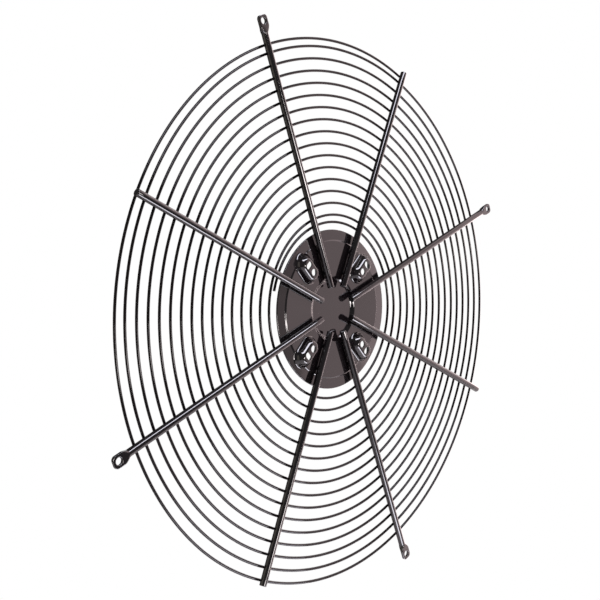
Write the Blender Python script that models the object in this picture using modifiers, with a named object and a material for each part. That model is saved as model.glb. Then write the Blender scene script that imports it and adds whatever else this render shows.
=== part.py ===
"""Wire guard for an axial fan: one spiral of wire on eight radial rods, around a pressed motor plate.

The guard is modelled lying down: local +Z looks out of the side that the motor is fixed to, local +Y is
up, and the rods' angles run clockwise from up. One empty stands the finished guard up, so in the world
the motor side faces -Y. The origin is on the fan's axis, in the plane on which the four eyelets seat.
"""
import math

import bmesh
import bpy
import numpy as np
from mathutils import Matrix

# Sizes in metres
CLEARANCE = 0.0003          # between pieces that touch and are welded on the real guard

ROD_RADIUS = 0.004
ROD_COUNT = 8
FIRST_ROD_ANGLE = math.radians(-22.5)
ROD_HUB_OVERLAP = 0.0105    # how far the rods reach in over the plate's recess
ROD_TIP_OVERHANG = 0.0045   # plain rods, past the centre of the outer turn
DISH = 0.0037               # the hub lies this far behind the plane of the eyelets

WIRE_RADIUS = 0.0015
WIRE_PITCH = 0.0143
WIRE_HUB_GAP = 0.0091       # from the plate's rim to the centre of the inner turn
WIRE_TURNS = 16.25          # from the first rod that it meets to the rod at which it ends
WIRE_TAIL = 0.0175          # the loose inner end, past its first rod
ROUND_START_TURNS = 0.57    # the inner end is wound round before the spiral grows
ROUND_END_TURNS = 0.45      # and so is the outer end
WIRE_START_ROD = 7          # counted from zero at the first rod
WIRE_STEPS = 40             # facets in a turn, a multiple of the rods

EYELET_REACH = 0.0265       # from the outer turn to the centre of the fixing hole
EYELET_WIDTH = 0.0138
EYELET_THICKNESS = 0.0034
EYELET_TIP = 0.0065         # from the hole's centre to the cut end
EYELET_CORNER = 0.0042
EYELET_EDGE = 0.0008        # rounding along the flat's edges
EYELET_FLAT = 0.005         # from the hole's centre back to where the flat starts to narrow
EYELET_NECK = 0.0145        # from the hole's centre back to the round rod
EYELET_HOLE_RADIUS = 0.0037

PLATE_RADIUS = 0.0964
PLATE_THICKNESS = 0.002
PLATE_STANDOFF = 0.0014     # the field lies this far behind what the rods are welded to
RIM_WIDTH = 0.0125
RIM_STEP = 0.0008           # the rim starts this far behind the field
RIM_STEP_RUN = 0.0014
RIM_FALL = 0.0004           # and falls back this much more to the plate's edge
RECESS_RADIUS = 0.0395
RECESS_DEPTH = 0.0028
RECESS_WALL_RUN = 0.0055
FOLD_RADIUS = 0.0016        # at every bend of the pressed sheet

INNER_WELD_CIRCLE = 0.047   # radius of the inner weld projections' circle
OUTER_WELD_CIRCLE = 0.075   # radius of the outer ones' circle
WELD_WIDTH = 0.003
WELD_LENGTH = 0.007
WELD_SLOPE_RUN = 0.001

BOSS_COUNT = 4
FIRST_BOSS_ANGLE = math.radians(45)
BOSS_RISE = 0.0091          # pads above the field
BOSS_SLOPE_RUN = 0.0042
PAD_WIDTH = 0.017
PAD_LENGTH = 0.0315
MOTOR_HOLE_CIRCLE = 0.0635  # radius of the inner holes' circle
MOTOR_SLOT_CIRCLE = 0.075   # radius of the slots' circle
MOTOR_HOLE_RADIUS = 0.0042
MOTOR_SLOT_LENGTH = 0.0105  # along its circle
MOTOR_SLOT_WIDTH = 0.007

# Worked out from the sizes above
WIRE_INNER_RADIUS = PLATE_RADIUS + WIRE_HUB_GAP
WIRE_GROWING_TURNS = WIRE_TURNS - ROUND_START_TURNS - ROUND_END_TURNS
WIRE_OUTER_RADIUS = WIRE_INNER_RADIUS + WIRE_PITCH * WIRE_GROWING_TURNS
HOLE_CIRCLE = WIRE_OUTER_RADIUS + EYELET_REACH
ROD_START = RECESS_RADIUS - ROD_HUB_OVERLAP
ROD_END = WIRE_OUTER_RADIUS + ROD_TIP_OVERHANG
BOSS_CIRCLE = (MOTOR_HOLE_CIRCLE + MOTOR_SLOT_CIRCLE) / 2

# Solids that are only cut with, and the fineness of the curves
BLANK_DEPTH = 0.030         # how deep the plate's two press forms reach
CUT_MARGIN = 0.010          # by which a cutter stands proud of what it cuts
ROD_BEVEL_RESOLUTION = 4    # twelve sides
WIRE_BEVEL_RESOLUTION = 1   # six sides
HOLE_SIDES = 24
PLATE_STEPS = 48
EYELET_SECTION_POINTS = 16
OBROUND_POINTS = 16
CORNER_STEPS = 3


def rod_depth(radius):
    """Height of a rod's centre line: it rises in a straight line from the hub to the eyelets."""
    return -ROD_RADIUS - DISH * (1 - radius / HOLE_CIRCLE)


def wire_depth(radius):
    """Height of the wire's centre line, behind the rods."""
    return rod_depth(radius) - ROD_RADIUS - CLEARANCE - WIRE_RADIUS


def field_depth(radius):
    """Height of the plate's front face, behind the rods."""
    return rod_depth(radius) - ROD_RADIUS - CLEARANCE - PLATE_STANDOFF


def fresh_collection(name):
    collection = bpy.data.collections.new(name)
    bpy.context.scene.collection.children.link(collection)
    return collection


def painted_steel(name, color, roughness):
    material = bpy.data.materials.new(name)
    material.use_nodes = True
    shader = material.node_tree.nodes["Principled BSDF"]
    shader.inputs["Base Color"].default_value = (*color, 1)
    shader.inputs["Roughness"].default_value = roughness
    shader.inputs["Metallic"].default_value = 0.0
    return material


def add_object(name, mesh, collection, material=None):
    piece = bpy.data.objects.new(name, mesh)
    collection.objects.link(piece)
    if material:
        mesh.materials.clear()
        mesh.materials.append(material)
    return piece


def make_cutter(piece):
    piece.hide_render = True
    piece.display_type = "WIRE"
    return piece


def shade_round(mesh, angle=40):
    mesh.shade_smooth()
    mesh.set_sharp_from_angle(angle=math.radians(angle))


def loft(name, rings):
    """A closed solid through rings of points, each wound anticlockwise seen from the last one."""
    mesh = bmesh.new()
    layers = [[mesh.verts.new(point) for point in ring] for ring in rings]
    count = len(layers[0])
    for lower, upper in zip(layers, layers[1:]):
        for i in range(count):
            j = (i + 1) % count
            mesh.faces.new((lower[i], lower[j], upper[j], upper[i]))
    mesh.faces.new(reversed(layers[0]))
    mesh.faces.new(layers[-1])
    data = bpy.data.meshes.new(name)
    mesh.to_mesh(data)
    mesh.free()
    return data


def wire_from_points(name, points, radius, bevel_resolution):
    """A round bar along a path, made a mesh with its two ends welded shut."""
    curve = bpy.data.curves.new(name, "CURVE")
    curve.dimensions = "3D"
    curve.bevel_depth = radius
    curve.bevel_resolution = bevel_resolution
    curve.use_fill_caps = True
    spline = curve.splines.new("POLY")
    spline.points.add(len(points) - 1)
    for target, point in zip(spline.points, points):
        target.co = (*point, 1)
    source = bpy.data.objects.new(name + "_path", curve)
    bpy.context.scene.collection.objects.link(source)
    bpy.context.view_layer.update()
    evaluated = source.evaluated_get(bpy.context.evaluated_depsgraph_get())
    data = bpy.data.meshes.new_from_object(evaluated)
    data.name = name
    mesh = bmesh.new()
    mesh.from_mesh(data)
    bmesh.ops.remove_doubles(mesh, verts=mesh.verts, dist=0.00001)
    mesh.to_mesh(data)
    mesh.free()
    bpy.data.objects.remove(source)
    shade_round(data, 70)
    return data


def spiral_radius(turn):
    """Radius of the wire after a number of turns: round, then growing evenly, then round again."""
    grown = np.clip(turn - ROUND_START_TURNS, 0, WIRE_GROWING_TURNS)
    return WIRE_INNER_RADIUS + WIRE_PITCH * grown


def spiral_points():
    """The wire's path, with a point under every rod and evenly spaced ones between."""
    first_angle = FIRST_ROD_ANGLE + WIRE_START_ROD * math.tau / ROD_COUNT
    tail = WIRE_TAIL / (math.tau * WIRE_INNER_RADIUS)
    turns = np.arange(0, round(WIRE_TURNS * WIRE_STEPS) + 1) / WIRE_STEPS
    turns = np.concatenate([[-tail, -tail / 2], turns])
    radius = spiral_radius(turns)
    angle = first_angle + turns * math.tau
    return np.column_stack([radius * np.sin(angle), radius * np.cos(angle), wire_depth(radius)])


def turned_to(piece, angle):
    """Turns a piece that was modelled pointing up, clockwise about the fan's axis."""
    piece.rotation_euler = (0, 0, -angle)
    return piece


def add_spiral(collection, material):
    mesh = wire_from_points("spiral_wire", spiral_points(), WIRE_RADIUS, WIRE_BEVEL_RESOLUTION)
    return add_object("spiral_wire", mesh, collection, material)


def add_plain_rod(index, collection, material):
    ends = [(0, r, rod_depth(r)) for r in (ROD_START, ROD_END)]
    name = f"plain_rod_{index // 2 + 1}"
    mesh = wire_from_points(name, ends, ROD_RADIUS, ROD_BEVEL_RESOLUTION)
    rod = add_object(name, mesh, collection, material)
    return turned_to(rod, FIRST_ROD_ANGLE + index * math.tau / ROD_COUNT)


def eyelet_stations():
    """Sections of a mounting rod: place along it, half width, half thickness, height and squareness.

    The rod is round up to the neck. There it is hammered flat and wide with its front face kept level
    with the rod's front, and its end is cut off square with rounded corners.
    """
    neck = HOLE_CIRCLE - EYELET_NECK
    flat = HOLE_CIRCLE - EYELET_FLAT
    tip = HOLE_CIRCLE + EYELET_TIP
    half_width = EYELET_WIDTH / 2
    half_thickness = EYELET_THICKNESS / 2
    stations = [(ROD_START, ROD_RADIUS, ROD_RADIUS, rod_depth(ROD_START), 0.0),
                (neck, ROD_RADIUS, ROD_RADIUS, rod_depth(neck), 0.0)]
    front = rod_depth(neck) + ROD_RADIUS
    for share in (0.25, 0.5, 0.75, 1.0):
        ease = share * share * (3 - 2 * share)
        radius = neck + (flat - neck) * share
        thickness = ROD_RADIUS + (half_thickness - ROD_RADIUS) * ease
        width = ROD_RADIUS + (half_width - ROD_RADIUS) * ease
        stations.append((radius, width, thickness, front * (1 - ease) - thickness, ease))
    for step in range(CORNER_STEPS + 1):
        angle = step / CORNER_STEPS * math.pi / 2
        radius = tip - EYELET_CORNER * (1 - math.sin(angle))
        width = half_width - EYELET_CORNER * (1 - math.cos(angle))
        stations.append((radius, width, half_thickness, -half_thickness, 1.0))
    return stations


def eyelet_section(radius, width, thickness, height, squareness):
    """A ring that runs from a circle at squareness 0 to a bar with rounded edges at squareness 1."""
    angle = np.arange(EYELET_SECTION_POINTS) / EYELET_SECTION_POINTS * math.tau
    circle = np.column_stack([np.sin(angle), np.cos(angle)]) * (width, thickness)
    inset = EYELET_EDGE * (1 - math.sqrt(0.5))
    corner = np.array([(0, thickness), (width - EYELET_EDGE, thickness), (width - inset, thickness - inset),
                       (width, thickness - EYELET_EDGE)])
    lower = corner[:0:-1] * (1, -1)
    side = np.vstack([corner, [(width, 0)], lower])
    bar = np.vstack([side, [(0, -thickness)], side[:0:-1] * (-1, 1)])
    ring = circle * (1 - squareness) + bar * squareness
    return np.column_stack([ring[:, 0], np.full(len(ring), radius), height + ring[:, 1]])


def add_mounting_rod(index, collection, cutters, material):
    number = index // 2 + 1
    mesh = loft(f"mounting_rod_{number}", [eyelet_section(*station) for station in eyelet_stations()])
    shade_round(mesh)
    angle = FIRST_ROD_ANGLE + index * math.tau / ROD_COUNT
    rod = turned_to(add_object(f"mounting_rod_{number}", mesh, collection, material), angle)
    hole = drill(f"eyelet_hole_{number}", EYELET_HOLE_RADIUS, -EYELET_THICKNESS / 2, cutters)
    hole.location = (HOLE_CIRCLE * math.sin(angle), HOLE_CIRCLE * math.cos(angle), 0)
    cut(rod, hole)
    return rod


def drill(name, radius, height, cutters):
    """A round cutter through whatever lies near the given height."""
    mesh = bmesh.new()
    bmesh.ops.create_cone(mesh, cap_ends=True, segments=HOLE_SIDES, radius1=radius, radius2=radius,
                          depth=2 * CUT_MARGIN, matrix=Matrix.Translation((0, 0, height)))
    data = bpy.data.meshes.new(name)
    mesh.to_mesh(data)
    mesh.free()
    return make_cutter(add_object(name, data, cutters))


def cut(piece, tool, operation="DIFFERENCE"):
    boolean = piece.modifiers.new(tool.name, "BOOLEAN")
    boolean.operation = operation
    boolean.object = tool
    boolean.solver = "EXACT"


def rounded_outline(points, radius):
    """Replaces each inner corner of an open outline by two points a little way along its sides."""
    points = [np.array(point, float) for point in points]
    outline = [points[0]]
    for before, corner, after in zip(points, points[1:], points[2:]):
        for end in (before, after):
            side = end - corner
            reach = min(radius, np.linalg.norm(side) / 3)
            outline.append(corner + side / np.linalg.norm(side) * reach)
    outline.append(points[-1])
    return outline


def press_form(name, drop, rim_radius, floor, collection):
    """The solid under the plate's front face, or under a face that lies lower by a wall's thickness."""
    step_outer = PLATE_RADIUS - RIM_WIDTH
    step_inner = step_outer - RIM_STEP_RUN
    wall_foot = RECESS_RADIUS - RECESS_WALL_RUN
    recess = field_depth(RECESS_RADIUS) - RECESS_DEPTH
    rim = field_depth(step_inner) - RIM_STEP
    rim_end = rim - RIM_FALL * (rim_radius - step_outer) / RIM_WIDTH
    face = rounded_outline([(0, recess), (wall_foot, recess), (RECESS_RADIUS, field_depth(RECESS_RADIUS)),
                            (step_inner, field_depth(step_inner)), (step_outer, rim),
                            (rim_radius, rim_end)], FOLD_RADIUS)
    profile = [(radius, height - drop) for radius, height in face]
    profile += [(rim_radius, floor), (0, floor)]
    data = bpy.data.meshes.new(name)
    edges = [(i, i + 1) for i in range(len(profile) - 1)]
    data.from_pydata([(radius, 0, height) for radius, height in profile], edges, [])
    form = add_object(name, data, collection)
    screw = form.modifiers.new("turn", "SCREW")
    screw.axis = "Z"
    screw.steps = PLATE_STEPS
    screw.render_steps = PLATE_STEPS
    screw.use_merge_vertices = True
    screw.merge_threshold = 0.00001
    screw.use_smooth_shade = False
    return form


def obround(across, along, height, centre):
    """A ring with straight sides and round ends, of the given sizes across and along the plate's radius."""
    radius = min(across, along) / 2
    angle = (np.arange(OBROUND_POINTS) + 0.5) / OBROUND_POINTS * math.tau
    side, reach = np.cos(angle), np.sin(angle)
    return np.column_stack([radius * side + np.sign(side) * (across / 2 - radius),
                            centre + radius * reach + np.sign(reach) * (along / 2 - radius),
                            np.full_like(angle, height)])


def boss_form(name, inset, drop, floor, angle, cutters):
    """One boss with sloping walls and a folded edge, its sides inset and its pad lowered by the given sizes."""
    pad = field_depth(BOSS_CIRCLE) + BOSS_RISE - drop
    foot = field_depth(BOSS_CIRCLE) - RIM_STEP - RIM_FALL - drop
    slope = BOSS_SLOPE_RUN / BOSS_RISE
    spread = slope * (pad - foot)
    width = PAD_WIDTH - 2 * inset
    length = PAD_LENGTH - 2 * inset
    fold = FOLD_RADIUS
    rings = [obround(width + 2 * spread, length + 2 * spread, floor, BOSS_CIRCLE),
             obround(width + 2 * spread, length + 2 * spread, foot, BOSS_CIRCLE),
             obround(width + 2 * slope * fold, length + 2 * slope * fold, pad - fold, BOSS_CIRCLE),
             obround(width - fold, length - fold, pad - fold * 0.25, BOSS_CIRCLE),
             obround(width - 3 * fold, length - 3 * fold, pad, BOSS_CIRCLE)]
    boss = add_object(name, loft(name, rings), cutters)
    return make_cutter(turned_to(boss, angle))


def slot_cutter(name, angle, cutters):
    rings = [obround(MOTOR_SLOT_LENGTH, MOTOR_SLOT_WIDTH, height, MOTOR_SLOT_CIRCLE)
             for height in (-BLANK_DEPTH, CUT_MARGIN)]
    return make_cutter(turned_to(add_object(name, loft(name, rings), cutters), angle))


def weld_projection(name, circle, angle, cutters):
    """A small oblong rise of the plate's face that meets a rod from behind."""
    root = PLATE_THICKNESS / 2
    spread = WELD_SLOPE_RUN * (PLATE_STANDOFF + root) / PLATE_STANDOFF
    rings = [obround(WELD_WIDTH + 2 * spread, WELD_LENGTH + 2 * spread, field_depth(circle) - root, circle),
             obround(WELD_WIDTH, WELD_LENGTH, field_depth(circle) + PLATE_STANDOFF, circle)]
    return make_cutter(turned_to(add_object(name, loft(name, rings), cutters), angle))


def add_plate(collection, cutters, material):
    """The pressed plate: what lies inside the front form and outside the same form a wall lower."""
    plate = press_form("motor_plate", 0, PLATE_RADIUS, -BLANK_DEPTH, collection)
    plate.data.materials.append(material)
    inside = press_form("plate_inside", PLATE_THICKNESS, PLATE_RADIUS + CUT_MARGIN,
                        -BLANK_DEPTH - CUT_MARGIN, cutters)
    make_cutter(inside)
    slope = BOSS_SLOPE_RUN / BOSS_RISE
    inset = PLATE_THICKNESS * (math.hypot(1, slope) - slope)
    angles = [FIRST_BOSS_ANGLE + i * math.tau / BOSS_COUNT for i in range(BOSS_COUNT)]
    for i, angle in enumerate(angles, 1):
        cut(plate, boss_form(f"boss_{i}", 0, 0, -BLANK_DEPTH, angle, cutters), "UNION")
        hollow = boss_form(f"boss_hollow_{i}", inset, PLATE_THICKNESS, -BLANK_DEPTH - CUT_MARGIN,
                           angle, cutters)
        cut(inside, hollow, "UNION")
    cut(plate, inside)
    for i, angle in enumerate(angles, 1):
        hole = drill(f"motor_hole_{i}", MOTOR_HOLE_RADIUS, field_depth(BOSS_CIRCLE), cutters)
        hole.location = (MOTOR_HOLE_CIRCLE * math.sin(angle), MOTOR_HOLE_CIRCLE * math.cos(angle), 0)
        cut(plate, hole)
        cut(plate, slot_cutter(f"motor_slot_{i}", angle, cutters))
    for index in range(ROD_COUNT):
        angle = FIRST_ROD_ANGLE + index * math.tau / ROD_COUNT
        for place, circle in (("inner", INNER_WELD_CIRCLE), ("outer", OUTER_WELD_CIRCLE)):
            cut(plate, weld_projection(f"{place}_weld_{index + 1}", circle, angle, cutters), "UNION")
    return plate


def main():
    for old in list(bpy.data.objects):
        bpy.data.objects.remove(old)
    guard = fresh_collection("fan_guard")
    cutters = fresh_collection("guard_cutters")
    coat = painted_steel("black_powder_coat", (0.022, 0.018, 0.019), 0.32)

    stand = bpy.data.objects.new("guard_upright", None)
    guard.objects.link(stand)
    stand.rotation_euler = (math.pi / 2, 0, 0)

    add_spiral(guard, coat)
    add_plate(guard, cutters, coat)
    for index in range(0, ROD_COUNT, 2):
        add_mounting_rod(index, guard, cutters, coat)
        add_plain_rod(index + 1, guard, coat)
    for piece in [*guard.objects, *cutters.objects]:
        if piece is not stand:
            piece.parent = stand
    bpy.context.view_layer.update()


main()
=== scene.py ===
"""Looks of the fan guard: gloss black powder coat on the wire, the rods and the pressed motor plate.

Each shape is worked out lying down, as (u, v, w): u to the right, v up, w out of the side that the motor
is fixed to. The function upright stands it up in the frame's axes. Angles run clockwise from up.
"""

import math

import bmesh
import bpy
import numpy as np
from mathutils import Euler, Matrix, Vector


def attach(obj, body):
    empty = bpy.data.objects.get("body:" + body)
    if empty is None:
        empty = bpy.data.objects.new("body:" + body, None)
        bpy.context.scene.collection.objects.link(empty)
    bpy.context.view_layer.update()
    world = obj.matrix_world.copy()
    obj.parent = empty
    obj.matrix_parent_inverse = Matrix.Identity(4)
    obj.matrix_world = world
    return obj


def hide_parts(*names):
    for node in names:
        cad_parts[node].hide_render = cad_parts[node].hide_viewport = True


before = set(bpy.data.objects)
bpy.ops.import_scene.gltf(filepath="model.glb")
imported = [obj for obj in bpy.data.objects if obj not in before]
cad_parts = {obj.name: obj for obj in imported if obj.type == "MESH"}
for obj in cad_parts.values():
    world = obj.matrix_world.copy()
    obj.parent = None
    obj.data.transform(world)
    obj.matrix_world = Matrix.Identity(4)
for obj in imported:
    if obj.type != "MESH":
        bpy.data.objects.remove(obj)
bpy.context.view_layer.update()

# Sizes in metres, the same as the solids' own but for two: the recess's wall is steeper in the looks, and
# the eyelets' corners are a little rounder
CLEARANCE = 0.0003
ROD_RADIUS = 0.004
ROD_COUNT = 8
FIRST_ROD_ANGLE = math.radians(-22.5)
ROD_START, ROD_END = 0.029, 0.327789    # from the fan's axis
DISH = 0.0037                           # the hub lies this far behind the plane of the eyelets
WIRE_RADIUS = 0.0015
WIRE_INNER_RADIUS, WIRE_OUTER_RADIUS = 0.1055, 0.323289
WIRE_PITCH = 0.0143
WIRE_TURNS = 16.25                      # from the first rod that it meets to its outer end
WIRE_TAIL = 0.0175                      # the loose inner end, before that rod
ROUND_START_TURNS = 0.57                # the inner end is wound round before the spiral grows
WIRE_START_ROD = 7
HOLE_CIRCLE = 0.349789
EYELET_WIDTH, EYELET_THICKNESS = 0.0138, 0.0034
EYELET_TIP, EYELET_CORNER = 0.0065, 0.0043
EYELET_FLAT, EYELET_NECK = 0.005, 0.0145
EYELET_HOLE_RADIUS = 0.0037
PLATE_RADIUS, PLATE_THICKNESS, PLATE_STANDOFF = 0.0964, 0.002, 0.0014
STEP_INNER, STEP_OUTER, RIM_STEP, RIM_FALL = 0.0825, 0.0839, 0.0008, 0.0004
RECESS_FOOT, RECESS_RADIUS, RECESS_DEPTH = 0.0350, 0.0389, 0.0028
INNER_WELD_CIRCLE, OUTER_WELD_CIRCLE = 0.047, 0.075
BOSS_CIRCLE, BOSS_RISE, BOSS_SLOPE_RUN = 0.06925, 0.0091, 0.0042
BOSS_ANGLES = np.radians([45, 135, 225, 315])
PAD_WIDTH, PAD_LENGTH = 0.017, 0.0315
MOTOR_HOLE_CIRCLE, MOTOR_SLOT_CIRCLE = 0.0635, 0.075
MOTOR_HOLE_RADIUS, MOTOR_SLOT_RADIUS, MOTOR_SLOT_REACH = 0.0042, 0.0035, 0.00175

# Sizes that only the looks have
FILM = 0.0001               # the coat on the wire and the rods, which the solids leave out
WIRE_EDGE = 0.0004          # radius to which the coat rounds the wire's cut ends
BAR_EDGE = 0.0006           # and the rods'
EDGE_RINGS = 5              # rings that round such an end
WIRE_BEAD = 0.0021, 0.0015, 0.0011      # half width, length and height of a bead between wire and rod
PLATE_BEAD = 0.0012, 0.0030, 0.0014     # and of one between rod and plate
FOLD = 0.0014               # half the width of each soft bend in the pressed sheet
STEP_FOLD = 0.0005          # and of the rim's tighter ones
FOLD_SAMPLES = 13           # places across a bend whose heights are averaged
PAD_EDGE = 0.0031           # half the width of the bend round a pad
PAD_CROWN = 0.0004          # each pad is domed by this much, which the solids leave out
PAD_TUCK = 0.64             # the back of a pad stands in by this share of the sheet's thickness
BOSS_FILLET = 0.0035        # how far above and below its foot a boss's wall is rounded
PLATE_EDGE = 0.0006         # radius of the plate's sheared edge
EYELET_DROP = 0.00035       # the hammered flat lies this far behind the rod's crest
EYELET_EDGE = 0.0001, 0.0004            # the last two rings of an eyelet are this much thinner
CORNER_RINGS = 9            # rings round an eyelet's corners
ROUND_POWER, FLAT_POWER = 2, 9          # of the superellipse of a round bar, and of a hammered one
HOLE_EDGE = 0.0009          # the punched hole's rounded rim
SMOOTH_ANGLE = 40           # degrees; sharper edges than this are shaded sharp

# The grid of the plate's front: distances from the axis near the middle, then rings from, to and every
PLATE_MIDDLE = 0.0005, 0.01, 0.02, 0.028
PLATE_RINGS = ((0.0315, 0.042, 0.00035), (0.042, 0.0815, 0.00055), (0.0815, 0.085, 0.00025),
               (0.085, PLATE_RADIUS - PLATE_EDGE, 0.0008))
BOSS_SPOKES = -18, 18, 0.5  # degrees from a boss's own angle, from, to and every
FIELD_SPOKES = 18, 72, 4.5  # and the same between it and the next


# Materials

def linear(code):
    """An sRGB hex code as linear red, green, blue and alpha."""
    srgb = np.array([int(code[i:i + 2], 16) for i in (1, 3, 5)]) / 255
    rgb = np.where(srgb <= 0.04045, srgb / 12.92, ((srgb + 0.055) / 1.055) ** 2.4)
    return (*rgb.tolist(), 1.0)


def add_node(tree, kind, settings=None, **links):
    """Adds a node; each link is an input's name, with underscores, and a value or another node's output."""
    node = tree.nodes.new("ShaderNode" + kind)
    for name, value in (settings or {}).items():
        setattr(node, name, value)
    for name, value in links.items():
        key = int(name[1:]) if name[1:].isdigit() else name.replace("_", " ")
        if isinstance(value, bpy.types.NodeSocket):
            tree.links.new(value, node.inputs[key])
        else:
            node.inputs[key].default_value = value
    return node


def black_powder_coat(name, deep, thin, roughness, ior, peel, grain):
    """Gloss black powder coat, baked on steel: a near-black, faintly warm film that mirrors lamps sharply.

    ior sets how strongly it mirrors and is matched to the photo: low on the thin wire, high on the rods and
    the plate. peel is the height in metres of its orange peel, whose bumps are 2.5 mm wide, and grain that
    of the fine specks of about 0.7 mm that the cured powder leaves. In clouds about 17 mm wide the film is
    thinner, a little lighter and a little less smooth.
    """
    material = bpy.data.materials.new(name)
    material.use_nodes = True
    tree = material.node_tree
    shader = tree.nodes["Principled BSDF"]
    place = add_node(tree, "TexCoord").outputs["Object"]
    clouds = add_node(tree, "TexNoise", Vector=place, Scale=60.0, Detail=3.0)
    peel_bumps = add_node(tree, "TexNoise", Vector=place, Scale=400.0, Detail=1.0)
    specks = add_node(tree, "TexNoise", Vector=place, Scale=1400.0, Detail=2.0)
    film = add_node(tree, "Mix", {"data_type": "RGBA"}, _0=clouds.outputs["Fac"], _6=linear(deep),
                    _7=linear(thin))
    gloss = add_node(tree, "MapRange", Value=clouds.outputs["Fac"], From_Min=0.3, From_Max=0.7,
                     To_Min=roughness * 0.8, To_Max=roughness * 1.2)
    fine = add_node(tree, "Bump", Height=specks.outputs["Fac"], Strength=1.0, Distance=grain)
    coarse = add_node(tree, "Bump", Height=peel_bumps.outputs["Fac"], Strength=1.0, Distance=peel,
                      Normal=fine.outputs["Normal"])
    tree.links.new(film.outputs[2], shader.inputs["Base Color"])
    tree.links.new(gloss.outputs["Result"], shader.inputs["Roughness"])
    tree.links.new(coarse.outputs["Normal"], shader.inputs["Normal"])
    shader.inputs["Metallic"].default_value = 0.0
    shader.inputs["IOR"].default_value = ior
    return material


# Shapes

def upright(points):
    """Stands up points that lie down: (x, y, z) is (u, -w, v)."""
    u, v, w = np.moveaxis(points, -1, 0)
    return np.stack([u, -w, v], axis=-1)


def turned(across, along, height, angle):
    """Places measured along the line from the axis at a clockwise angle, and square to it."""
    across, along, height, angle = np.broadcast_arrays(across, along, height, angle)
    return np.stack([along * np.sin(angle) + across * np.cos(angle),
                     along * np.cos(angle) - across * np.sin(angle), height], axis=-1)


def rod_depth(radius):
    """Height of a rod's centre line: straight from the hub to the eyelets."""
    return -ROD_RADIUS - DISH * (1 - radius / HOLE_CIRCLE)


def wire_depth(radius):
    return rod_depth(radius) - ROD_RADIUS - CLEARANCE - WIRE_RADIUS


def field_depth(radius):
    return rod_depth(radius) - ROD_RADIUS - CLEARANCE - PLATE_STANDOFF


def skin_rings(rings):
    """Vertices and faces of solids given as rings, an array of (solid, ring, point, 3).

    Neighbouring rings are joined by quads, and the first and last ring of each solid are closed.
    """
    solids, count, sides, _ = rings.shape
    base = (np.arange(solids) * count * sides)[:, None, None]
    ring = (np.arange(count - 1) * sides)[None, :, None]
    side = np.arange(sides)[None, None, :]
    after = (side + 1) % sides
    below, above = base + ring, base + ring + sides
    corners = [below + side, below + after, above + after, above + side]
    quads = np.stack(np.broadcast_arrays(*corners), axis=-1).reshape(-1, 4).tolist()
    starts = base[:, 0] + np.arange(sides)[None, ::-1]
    ends = base[:, 0] + (count - 1) * sides + np.arange(sides)[None, :]
    return rings.reshape(-1, 3), quads + starts.tolist() + ends.tolist()


def solid(name, rings, material, sharp=SMOOTH_ANGLE):
    """An object from rings, with its faces pointing outwards and shaded smooth below the sharp angle."""
    vertices, faces = skin_rings(rings if rings.ndim == 4 else rings[None])
    mesh = bpy.data.meshes.new(name)
    mesh.from_pydata(upright(vertices), [], faces)
    work = bmesh.new()
    work.from_mesh(mesh)
    bmesh.ops.recalc_face_normals(work, faces=work.faces)
    work.to_mesh(mesh)
    work.free()
    mesh.shade_smooth()
    mesh.set_sharp_from_angle(angle=math.radians(sharp))
    mesh.materials.append(material)
    piece = bpy.data.objects.new(name, mesh)
    bpy.context.scene.collection.objects.link(piece)
    return piece


def cut_holes(piece, cutters):
    """Cuts the cutters' solids out of a piece and throws the cutters away."""
    boolean = piece.modifiers.new("holes", "BOOLEAN")
    boolean.operation = "DIFFERENCE"
    boolean.solver = "EXACT"
    boolean.object = cutters
    bpy.context.view_layer.update()
    cut = bpy.data.meshes.new_from_object(piece.evaluated_get(bpy.context.evaluated_depsgraph_get()))
    piece.modifiers.clear()
    piece.data = cut
    cut.shade_smooth()
    cut.set_sharp_from_angle(angle=math.radians(SMOOTH_ANGLE))
    bpy.data.objects.remove(cutters)


def rounded_stations(start, end, count, edge):
    """Places along a bar, and how far its surface is drawn in at each.

    Both ends are rounded by a quarter circle: at t from 0 to 90 degrees the place is edge * (1 - cos t)
    from the end, and the surface is drawn in by edge * (1 - sin t).
    """
    t = np.linspace(0, math.pi / 2, EDGE_RINGS)
    place, inset = edge * (1 - np.cos(t)), edge * (1 - np.sin(t))
    middle = np.linspace(start + edge, end - edge, count)[1:-1]
    along = np.concatenate([start + place, middle, (end - place)[::-1]])
    return along, np.concatenate([inset, np.zeros(len(middle)), inset[::-1]])


def spiral_place(turn):
    """The wire's centre after a number of turns: round for a start, then growing evenly, then round."""
    radius = np.clip(WIRE_INNER_RADIUS + WIRE_PITCH * (turn - ROUND_START_TURNS), WIRE_INNER_RADIUS,
                     WIRE_OUTER_RADIUS)
    angle = FIRST_ROD_ANGLE + WIRE_START_ROD * math.tau / ROD_COUNT + turn * math.tau
    return np.stack([radius * np.sin(angle), radius * np.cos(angle), wire_depth(radius)], axis=-1)


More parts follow.
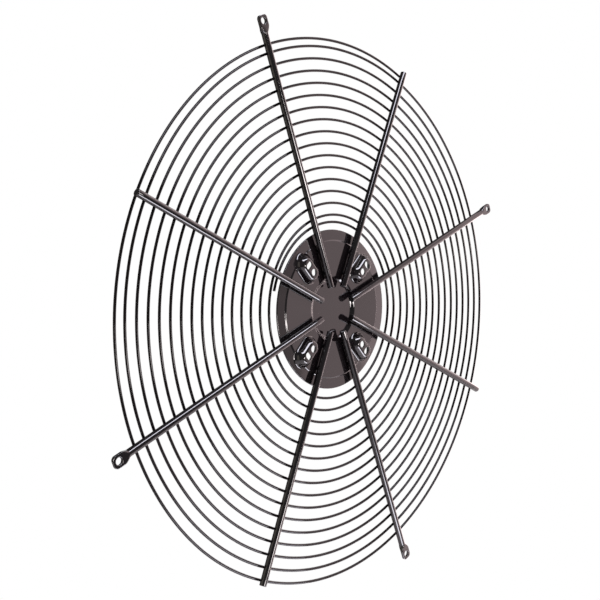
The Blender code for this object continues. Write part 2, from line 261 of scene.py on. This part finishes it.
def make_spiral_wire(material, stations=3200, sides=12):
    """The wire: a circle carried along the spiral at even steps of its length, with rounded cut ends.

    Each ring's point at t is the centre + radius * (cos t * outward + sin t * up). The wire's direction
    at a station is taken between the places reach before and after it.
    """
    reach = 0.001
    turns = np.linspace(-WIRE_TAIL / (math.tau * WIRE_INNER_RADIUS), WIRE_TURNS, 20000)
    steps = np.linalg.norm(np.diff(spiral_place(turns), axis=0), axis=1)
    length = np.concatenate([[0], np.cumsum(steps)])
    along, inset = rounded_stations(0, length[-1], stations, WIRE_EDGE)
    centre, before, after = (spiral_place(np.interp(along + shift, length, turns))
                             for shift in (0, -reach, reach))
    forward = after - before
    outward = np.cross(forward, (0, 0, 1))
    outward /= np.linalg.norm(outward, axis=1, keepdims=True)
    up = np.cross(outward, forward)
    up /= np.linalg.norm(up, axis=1, keepdims=True)
    t = np.arange(sides) / sides * math.tau
    cosine, sine = np.cos(t)[:, None], np.sin(t)[:, None]
    radius = (WIRE_RADIUS + FILM - inset)[:, None, None]
    rings = centre[:, None] + radius * (cosine * outward[:, None] + sine * up[:, None])
    return solid("guard_wire", rings, material)


def weld_beads(centres, angles, half_width, half_length, half_height, sides=10):
    """Rings of small weld beads: squashed balls whose ring at latitude b is cos b wide and sin b high."""
    latitude = np.radians([-72, -36, 0, 36, 72])[None, :, None]
    t = (np.arange(sides) / sides * math.tau)[None, None, :]
    across = half_width * np.cos(latitude) * np.cos(t)
    along = half_length * np.cos(latitude) * np.sin(t)
    height = half_height * np.sin(latitude) + 0 * t
    offsets = turned(across, along, height, angles[:, None, None])
    return centres[:, None, None] + offsets


def make_weld_beads(material):
    """A bead wherever the wire crosses a rod, and two where each rod lies on the plate.

    The wire crosses a rod after every eighth of a turn. Each bead fills the thin gap between the two.
    """
    turns = np.arange(round(WIRE_TURNS * ROD_COUNT) + 1) / ROD_COUNT
    crossings = spiral_place(turns)
    crossings[:, 2] += WIRE_RADIUS + CLEARANCE / 2
    angles = FIRST_ROD_ANGLE + (WIRE_START_ROD / ROD_COUNT + turns) * math.tau
    wire_welds = weld_beads(crossings, angles, *WIRE_BEAD)
    rod_angles = np.repeat(FIRST_ROD_ANGLE + np.arange(ROD_COUNT) * math.tau / ROD_COUNT, 2)
    radius = np.tile([INNER_WELD_CIRCLE, OUTER_WELD_CIRCLE], ROD_COUNT)
    on_plate = np.stack([radius * np.sin(rod_angles), radius * np.cos(rod_angles),
                         field_depth(radius) + PLATE_STANDOFF / 2], axis=-1)
    plate_welds = weld_beads(on_plate, rod_angles, *PLATE_BEAD)
    return solid("weld_beads", np.concatenate([wire_welds, plate_welds]), material, sharp=60)


def make_plain_rod(index, material, sides=32):
    """A straight round bar with rounded cut ends."""
    along, inset = rounded_stations(ROD_START, ROD_END, 24, BAR_EDGE)
    t = np.arange(sides) / sides * math.tau
    radius = (ROD_RADIUS + FILM - inset)[:, None]
    angle = FIRST_ROD_ANGLE + index * math.tau / ROD_COUNT
    height = rod_depth(along)[:, None] + radius * np.cos(t)
    rings = turned(radius * np.sin(t), along[:, None], height, angle)
    return solid(f"plain_bar_{index // 2 + 1}", rings, material)


def make_mounting_rod(index, material, sides=48):
    """A round bar whose outer end is hammered into a flat eyelet, cut off square with rounded corners.

    Every section is a superellipse: half the width times sin t to the power 2/n across, and half the
    thickness times cos t to the power 2/n in height. n eases from 2, a round bar, to 9, a flat one, as
    everything else does, by 3 s squared - 2 s cubed of the way s from the neck to the flat. The hole's
    cutter widens by a quarter circle at both faces, and goes on past them.
    """
    past = 0.01
    neck, flat, tip = HOLE_CIRCLE - EYELET_NECK, HOLE_CIRCLE - EYELET_FLAT, HOLE_CIRCLE + EYELET_TIP
    start, inset = rounded_stations(ROD_START, neck, 20, BAR_EDGE)
    start, inset = start[:-EDGE_RINGS], inset[:-EDGE_RINGS]
    forging = np.linspace(neck, flat, 18)
    corner = np.linspace(0, math.pi / 2, CORNER_RINGS)
    end = tip - EYELET_CORNER * (1 - np.sin(corner))
    along = np.concatenate([start, forging, np.linspace(flat, end[0], 6)[1:-1], end])
    share = np.clip((along - neck) / (flat - neck), 0, 1)
    ease = share * share * (3 - 2 * share)
    width = ROD_RADIUS + FILM + (EYELET_WIDTH / 2 - ROD_RADIUS - FILM) * ease
    width[-CORNER_RINGS:] -= EYELET_CORNER * (1 - np.cos(corner))
    width[:len(inset)] -= inset
    thickness = ROD_RADIUS + FILM + (EYELET_THICKNESS / 2 - ROD_RADIUS - FILM) * ease
    front = (rod_depth(along) + ROD_RADIUS + FILM) * (1 - ease) - EYELET_DROP * ease
    height = front - thickness
    thickness[:len(inset)] -= inset
    thickness[-2:] -= EYELET_EDGE
    power = (2 / (ROUND_POWER + (FLAT_POWER - ROUND_POWER) * ease))[:, None]
    t = np.arange(sides) / sides * math.tau
    sine, cosine = np.sin(t), np.cos(t)
    across = width[:, None] * np.sign(sine) * np.abs(sine) ** power
    rise = thickness[:, None] * np.sign(cosine) * np.abs(cosine) ** power
    angle = FIRST_ROD_ANGLE + index * math.tau / ROD_COUNT
    rings = turned(across, along[:, None], height[:, None] + rise, angle)
    number = index // 2 + 1
    rod = solid(f"eyelet_bar_{number}", rings, material)
    centre = np.array([[HOLE_CIRCLE * math.sin(angle), HOLE_CIRCLE * math.cos(angle)]])
    t = np.linspace(0, math.pi / 2, 7)
    flare = HOLE_EDGE * np.concatenate([[1], 1 - np.sin(t), (1 - np.sin(t))[::-1], [1]])
    depth = HOLE_EDGE * (1 - np.cos(t))
    levels = -EYELET_DROP - np.concatenate([[-past], depth, EYELET_THICKNESS - depth[::-1], [past]])
    cut_holes(rod, drill(centre, EYELET_HOLE_RADIUS + flare, 0, levels, 64, np.array([angle])))
    return rod


def drill(centres, radii, reach, levels, sides, angles):
    """Cutters for holes: circles of the given radii at the given levels, each halved and parted by reach.

    The halves part square to the line from the axis, which makes a slot; a reach of 0 leaves a round hole.
    """
    t = (np.arange(sides) + 0.5) / sides * math.tau
    across = radii[:, None] * np.cos(t) + np.sign(np.cos(t)) * reach
    along = radii[:, None] * np.sin(t)
    rings = np.stack([turned(across, along, levels[:, None], angle) for angle in angles])
    rings[..., :2] += centres[:, None, None, :]
    return solid("hole_cutters", rings, bpy.data.materials[0])


def press_profile(radius, drop):
    """Height of the pressed plate without its bosses: recess, field, step and rim, joined by soft bends.

    It is a line through corner points, averaged over a window of 2 * FOLD, or 2 * STEP_FOLD out at the rim,
    so that each corner becomes a bend. For the plate's back the line lies lower by drop, the recess's wall
    stands a quarter of that further out, and the rim's step as much further in.
    """
    recess = field_depth(RECESS_RADIUS) - RECESS_DEPTH
    rim = field_depth(STEP_INNER) - RIM_STEP
    corners = [-1, RECESS_FOOT + drop / 4, RECESS_RADIUS + drop / 4, STEP_INNER - drop / 4,
               STEP_OUTER - drop / 4, PLATE_RADIUS]
    heights = [recess, recess, field_depth(RECESS_RADIUS), field_depth(STEP_INNER), rim, rim - RIM_FALL]
    fold = np.where(radius < MOTOR_HOLE_CIRCLE, FOLD, STEP_FOLD)
    window = np.linspace(-1, 1, FOLD_SAMPLES)
    return np.mean([np.interp(radius + shift * fold, corners, heights) for shift in window], axis=0) - drop


def plate_height(radius, angle, drop):
    """Height of the plate's front, or of its back where drop is its thickness.

    A boss is a pad around a short line. Past its outline the wall falls by the slope times the distance
    out, and within PAD_EDGE of the outline a quadratic joins the wall to the pad. The pad is domed: it
    falls by PAD_CROWN times the cube of the share of the way to its outline. The plate is the higher of
    boss and pressing, and within BOSS_FILLET of a tie a quadratic rounds the foot of the wall.
    """
    height = press_profile(radius, drop) + 0 * angle
    slope = BOSS_RISE / BOSS_SLOPE_RUN
    reach = (PAD_LENGTH - PAD_WIDTH) / 2
    for boss in BOSS_ANGLES:
        across = radius * np.sin(angle - boss)
        along = np.maximum(np.abs(radius * np.cos(angle - boss) - BOSS_CIRCLE) - reach, 0)
        away = np.hypot(across, along)
        out = away - PAD_WIDTH / 2 + drop * PAD_TUCK
        fall = np.where(np.abs(out) < PAD_EDGE, (out + PAD_EDGE) ** 2 / (4 * PAD_EDGE), np.maximum(out, 0))
        crown = PAD_CROWN * np.minimum(away / (PAD_WIDTH / 2), 1) ** 3
        top = field_depth(BOSS_CIRCLE) + BOSS_RISE - drop - slope * fall - crown
        near = np.maximum(BOSS_FILLET - np.abs(top - height), 0)
        joined = np.maximum(top, height) + near ** 2 / (4 * BOSS_FILLET)
        height = np.where(np.cos(angle - boss) > 0, joined, height)
    return height


def make_motor_plate(material):
    """The pressed plate: circles from the middle of its front, round its sheared edge, to that of its back.

    At t from 0 to 90 degrees the edge's circle lies PLATE_EDGE * (1 - sin t) within the plate's radius and
    PLATE_EDGE * (1 - cos t) below its front. The back's half of the edge is the same, turned over.
    """
    rows = np.concatenate([PLATE_MIDDLE] + [np.arange(*ring) for ring in PLATE_RINGS])
    spokes = np.concatenate([np.radians(np.arange(*BOSS_SPOKES)), np.radians(np.arange(*FIELD_SPOKES))])
    angle = np.concatenate([spokes + boss for boss in BOSS_ANGLES])[None, :]
    t = np.linspace(0, math.pi / 2, EDGE_RINGS)[:, None]
    front = plate_height(rows[:, None], angle, 0)
    back = plate_height(rows[:, None], angle, PLATE_THICKNESS)
    rim_front = plate_height(PLATE_RADIUS, angle, 0)
    rim_back = plate_height(PLATE_RADIUS, angle, PLATE_THICKNESS)
    edge_radius = PLATE_RADIUS - PLATE_EDGE * (1 - np.sin(t))
    heights = np.concatenate([front, rim_front - PLATE_EDGE * (1 - np.cos(t)),
                              rim_back + PLATE_EDGE * (1 - np.cos(t[::-1])), back[::-1]])
    radii = np.concatenate([rows[:, None], edge_radius, edge_radius[::-1], rows[::-1, None]])
    plate = solid("pressed_plate", turned(0, radii, heights, angle), material)
    levels = np.array([0.0, -0.03])     # from in front of the bosses to well behind the plate
    for circle, radius, reach in ((MOTOR_HOLE_CIRCLE, MOTOR_HOLE_RADIUS, 0),
                                  (MOTOR_SLOT_CIRCLE, MOTOR_SLOT_RADIUS, MOTOR_SLOT_REACH)):
        centres = circle * np.stack([np.sin(BOSS_ANGLES), np.cos(BOSS_ANGLES)], axis=-1)
        cut_holes(plate, drill(centres, np.full(2, radius), reach, levels, 48, BOSS_ANGLES))
    return plate


# Studio

def softbox(name, azimuth, elevation, distance, width, height, radiance, color):
    """An area lamp that faces the object, placed by its direction: azimuth from the front to the right.

    Radiance is how bright the lamp's own face is, where 1 is white.
    """
    white_watts = 4             # for each square metre of the face
    lamp = bpy.data.lights.new(name, "AREA")
    lamp.shape = "RECTANGLE"
    lamp.size, lamp.size_y = width, height
    lamp.energy = white_watts * width * height * radiance
    lamp.color = linear(color)[:3]
    azimuth, elevation = math.radians(azimuth), math.radians(elevation)
    towards = Vector((math.sin(azimuth) * math.cos(elevation), -math.cos(azimuth) * math.cos(elevation),
                      math.sin(elevation)))
    box = bpy.data.objects.new(name, lamp)
    box.location = towards * distance
    box.rotation_euler = towards.to_track_quat("Z", "Y").to_euler()
    box.visible_camera = False
    bpy.context.scene.collection.objects.link(box)


def shown_ray(tree):
    """1 for a camera, glossy or transmission ray, 0 for a diffuse one."""
    path = add_node(tree, "LightPath").outputs
    seen = add_node(tree, "Math", {"operation": "MAXIMUM"}, _0=path["Is Camera Ray"],
                    _1=path["Is Glossy Ray"])
    return add_node(tree, "Math", {"operation": "MAXIMUM"}, _0=seen.outputs[0],
                    _1=path["Is Transmission Ray"]).outputs[0]


def sheet(name, width, depth, location, rotation, material):
    mesh = bpy.data.meshes.new(name)
    x, y = width / 2, depth / 2
    mesh.from_pydata([(-x, -y, 0), (x, -y, 0), (x, y, 0), (-x, y, 0)], [], [(0, 1, 2, 3)])
    mesh.materials.append(material)
    piece = bpy.data.objects.new(name, mesh)
    piece.location, piece.rotation_euler = location, rotation
    bpy.context.scene.collection.objects.link(piece)
    return piece


def pale_floor():
    """Matt white paper, which keeps the shadow and fades into the white round it towards its edge."""
    material = bpy.data.materials.new("matt_white_floor_paper")
    material.use_nodes = True
    tree = material.node_tree
    shader = tree.nodes["Principled BSDF"]
    shader.inputs["Base Color"].default_value = linear("#F4F4F4")
    shader.inputs["Roughness"].default_value = 0.9
    place = add_node(tree, "TexCoord").outputs["Object"]
    away = add_node(tree, "VectorMath", {"operation": "LENGTH"}, _0=place).outputs["Value"]
    fade = add_node(tree, "MapRange", Value=away, From_Min=0.5, From_Max=1.15).outputs["Result"]
    camera = add_node(tree, "LightPath").outputs["Is Camera Ray"]
    share = add_node(tree, "Math", {"operation": "MULTIPLY"}, _0=fade, _1=camera).outputs[0]
    white = add_node(tree, "Emission", Strength=1.0).outputs[0]
    mix = add_node(tree, "MixShader", _0=share, _1=shader.outputs[0], _2=white).outputs[0]
    tree.links.new(mix, tree.nodes["Material Output"].inputs["Surface"])
    return material


def white_backdrop():
    """A white wall far behind the guard, as bright as the page where it is seen or mirrored."""
    material = bpy.data.materials.new("white_backdrop_wall")
    material.use_nodes = True
    tree = material.node_tree
    shader = tree.nodes["Principled BSDF"]
    shader.inputs["Base Color"].default_value = linear("#E8E8E8")
    white = add_node(tree, "Emission", Strength=1.0).outputs[0]
    mix = add_node(tree, "MixShader", _0=shown_ray(tree), _1=shader.outputs[0], _2=white).outputs[0]
    tree.links.new(mix, tree.nodes["Material Output"].inputs["Surface"])
    return material


def studio_world():
    """White to the eye; to everything else a dim room."""
    world = bpy.data.worlds.new("studio_room")
    bpy.context.scene.world = world
    world.use_nodes = True
    tree = world.node_tree
    room = tree.nodes["Background"]
    room.inputs["Color"].default_value = linear("#FFFFFF")
    room.inputs["Strength"].default_value = 0.12
    white = add_node(tree, "Background", Color=(1, 1, 1, 1), Strength=1.0)
    path = add_node(tree, "LightPath").outputs
    seen = add_node(tree, "Math", {"operation": "MAXIMUM"}, _0=path["Is Camera Ray"],
                    _1=path["Is Transmission Ray"])
    mix = add_node(tree, "MixShader", _0=seen.outputs[0], _1=room.outputs[0], _2=white.outputs[0])
    tree.links.new(mix.outputs[0], tree.nodes["World Output"].inputs["Surface"])


def studio_camera():
    """The photograph's camera: level, to the left of the front, 1.15 m away.

    All its numbers come from the fit to the eyelets, the rods' ends and the turns of the wire.
    """
    camera = bpy.data.cameras.new("photo_camera")
    camera.sensor_width = 36
    camera.lens = 57.538
    camera.shift_y = -0.0768
    eye = bpy.data.objects.new("photo_camera", camera)
    eye.location = (-0.87446, -0.75370, 0.06469)
    eye.rotation_euler = Euler(np.radians([90.0831, -0.4115, -46.7426]))
    bpy.context.scene.collection.objects.link(eye)
    bpy.context.scene.camera = eye


wire_coat = black_powder_coat("black_powder_coat_wire", "#0B0809", "#0E0B0C", 0.05, 1.36, 0.000001, 0.0)
rod_coat = black_powder_coat("black_powder_coat_rods", "#0D0A0B", "#110E0F", 0.06, 1.7, 0.000002, 0.0)
plate_coat = black_powder_coat("black_powder_coat_plate", "#0D0A0B", "#110E0F", 0.06, 1.7, 0.000006,
                               0.000002)

made = [(make_spiral_wire(wire_coat), "wire_coat", "spiral_wire"),
        (make_weld_beads(wire_coat), "wire_coat", None),
        (make_motor_plate(plate_coat), "plate_coat", "motor_plate")]
for index in range(0, ROD_COUNT, 2):
    number = index // 2 + 1
    made.append((make_mounting_rod(index, rod_coat), "rod_coat", f"mounting_rod_{number}"))
    made.append((make_plain_rod(index + 1, rod_coat), "rod_coat", f"plain_rod_{number}"))
for piece, slot, node in made:
    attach(piece, "root")
    if node:
        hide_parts(node)

# Three windows on the right that overlap: the plate's grey is their mirror image
softbox("window_edge", 70.5, 10, 1.9, 2.9, 4.3, 0.35, "#FFE6E8")
softbox("window", 75.4, 10, 1.9, 2.43, 4.3, 0.43, "#FFE6E8")
softbox("window_deep", 80.5, 10, 1.9, 1.98, 4.3, 0.50, "#FFE6E8")
# Far right: a thin light edge on the right and bottom rods, and on the bosses' right-hand walls
softbox("window_far", 97, 6, 1.9, 0.9, 3.0, 2.6, "#FFEDEA")
# In front, a little low: the light lines on the upper left and bottom left rods, and glints on the bosses
softbox("front_panel", 12.5, -8.3, 3.6, 1.0, 0.5, 13.0, "#FFF6F5")
softbox("front_low_panel", -1, -12.2, 7.0, 2.2, 0.70, 14.0, "#FFF6F5")
# Above: the light lines on the upper right rod and the lower left one, and over the tops of the bosses
softbox("top_strip", -8, 54, 1.9, 2.3, 0.50, 10.5, "#F4F2FF")
# Below: the light lines on the bottom right rod and the one at the left, and under the bosses
softbox("low_strip", 17, -53.5, 0.98, 0.76, 0.27, 9.0, "#F6F4FF")
# Far left: a faint warm light on the bosses' left-hand walls
softbox("left_wash", -105, -3, 2.2, 2.54, 2.75, 0.4, "#FFF3E2")
studio_world()
sheet("floor", 2.5, 2.5, (0, 0, -0.9), (0, 0, 0), pale_floor())
sheet("backdrop", 3.8, 3.8, (3.13, 3.01, 0.9), (math.pi / 2, 0, math.radians(-46.7)), white_backdrop())
studio_camera()
bpy.context.scene.view_settings.view_transform = "Standard"
